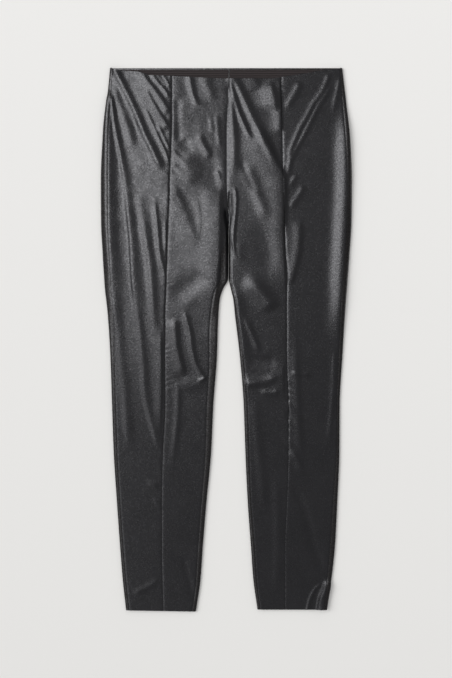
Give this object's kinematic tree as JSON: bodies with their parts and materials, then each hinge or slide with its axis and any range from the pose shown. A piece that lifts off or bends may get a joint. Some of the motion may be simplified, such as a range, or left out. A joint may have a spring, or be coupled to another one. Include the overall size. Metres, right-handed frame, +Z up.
{
  "type": "leather leggings laid flat",
  "caption": "High-waist leggings in black imitation leather with long front seams, laid flat with the front up.",
  "frame": {"origin": "middle of the bottom of the bounding box, on the surface that the leggings lie on", "axes": "+Y towards the waist, along the legs; +Z up, out of the front of the leggings; +X towards the viewer's right, with the front up and the waist at the top"},
  "size_m": [0.447, 0.966, 0.006],
  "materials": {
    "leather_front": "satin black coated cloth with a fine grain",
    "leather_back": "satin black coated cloth, a shade browner at the rolled edges",
    "waist_facing": "matt dark brown-black jersey over the waist elastic"
  },
  "bodies": {
    "root": {"front_outer_left": "leather_front", "front_inner_left": "leather_front", "front_inner_right": "leather_front", "front_outer_right": "leather_front", "back_left": "leather_back", "back_right": "leather_back", "waist_facing_left": "waist_facing", "waist_facing_right": "waist_facing"}
  },
  "joints": []
}
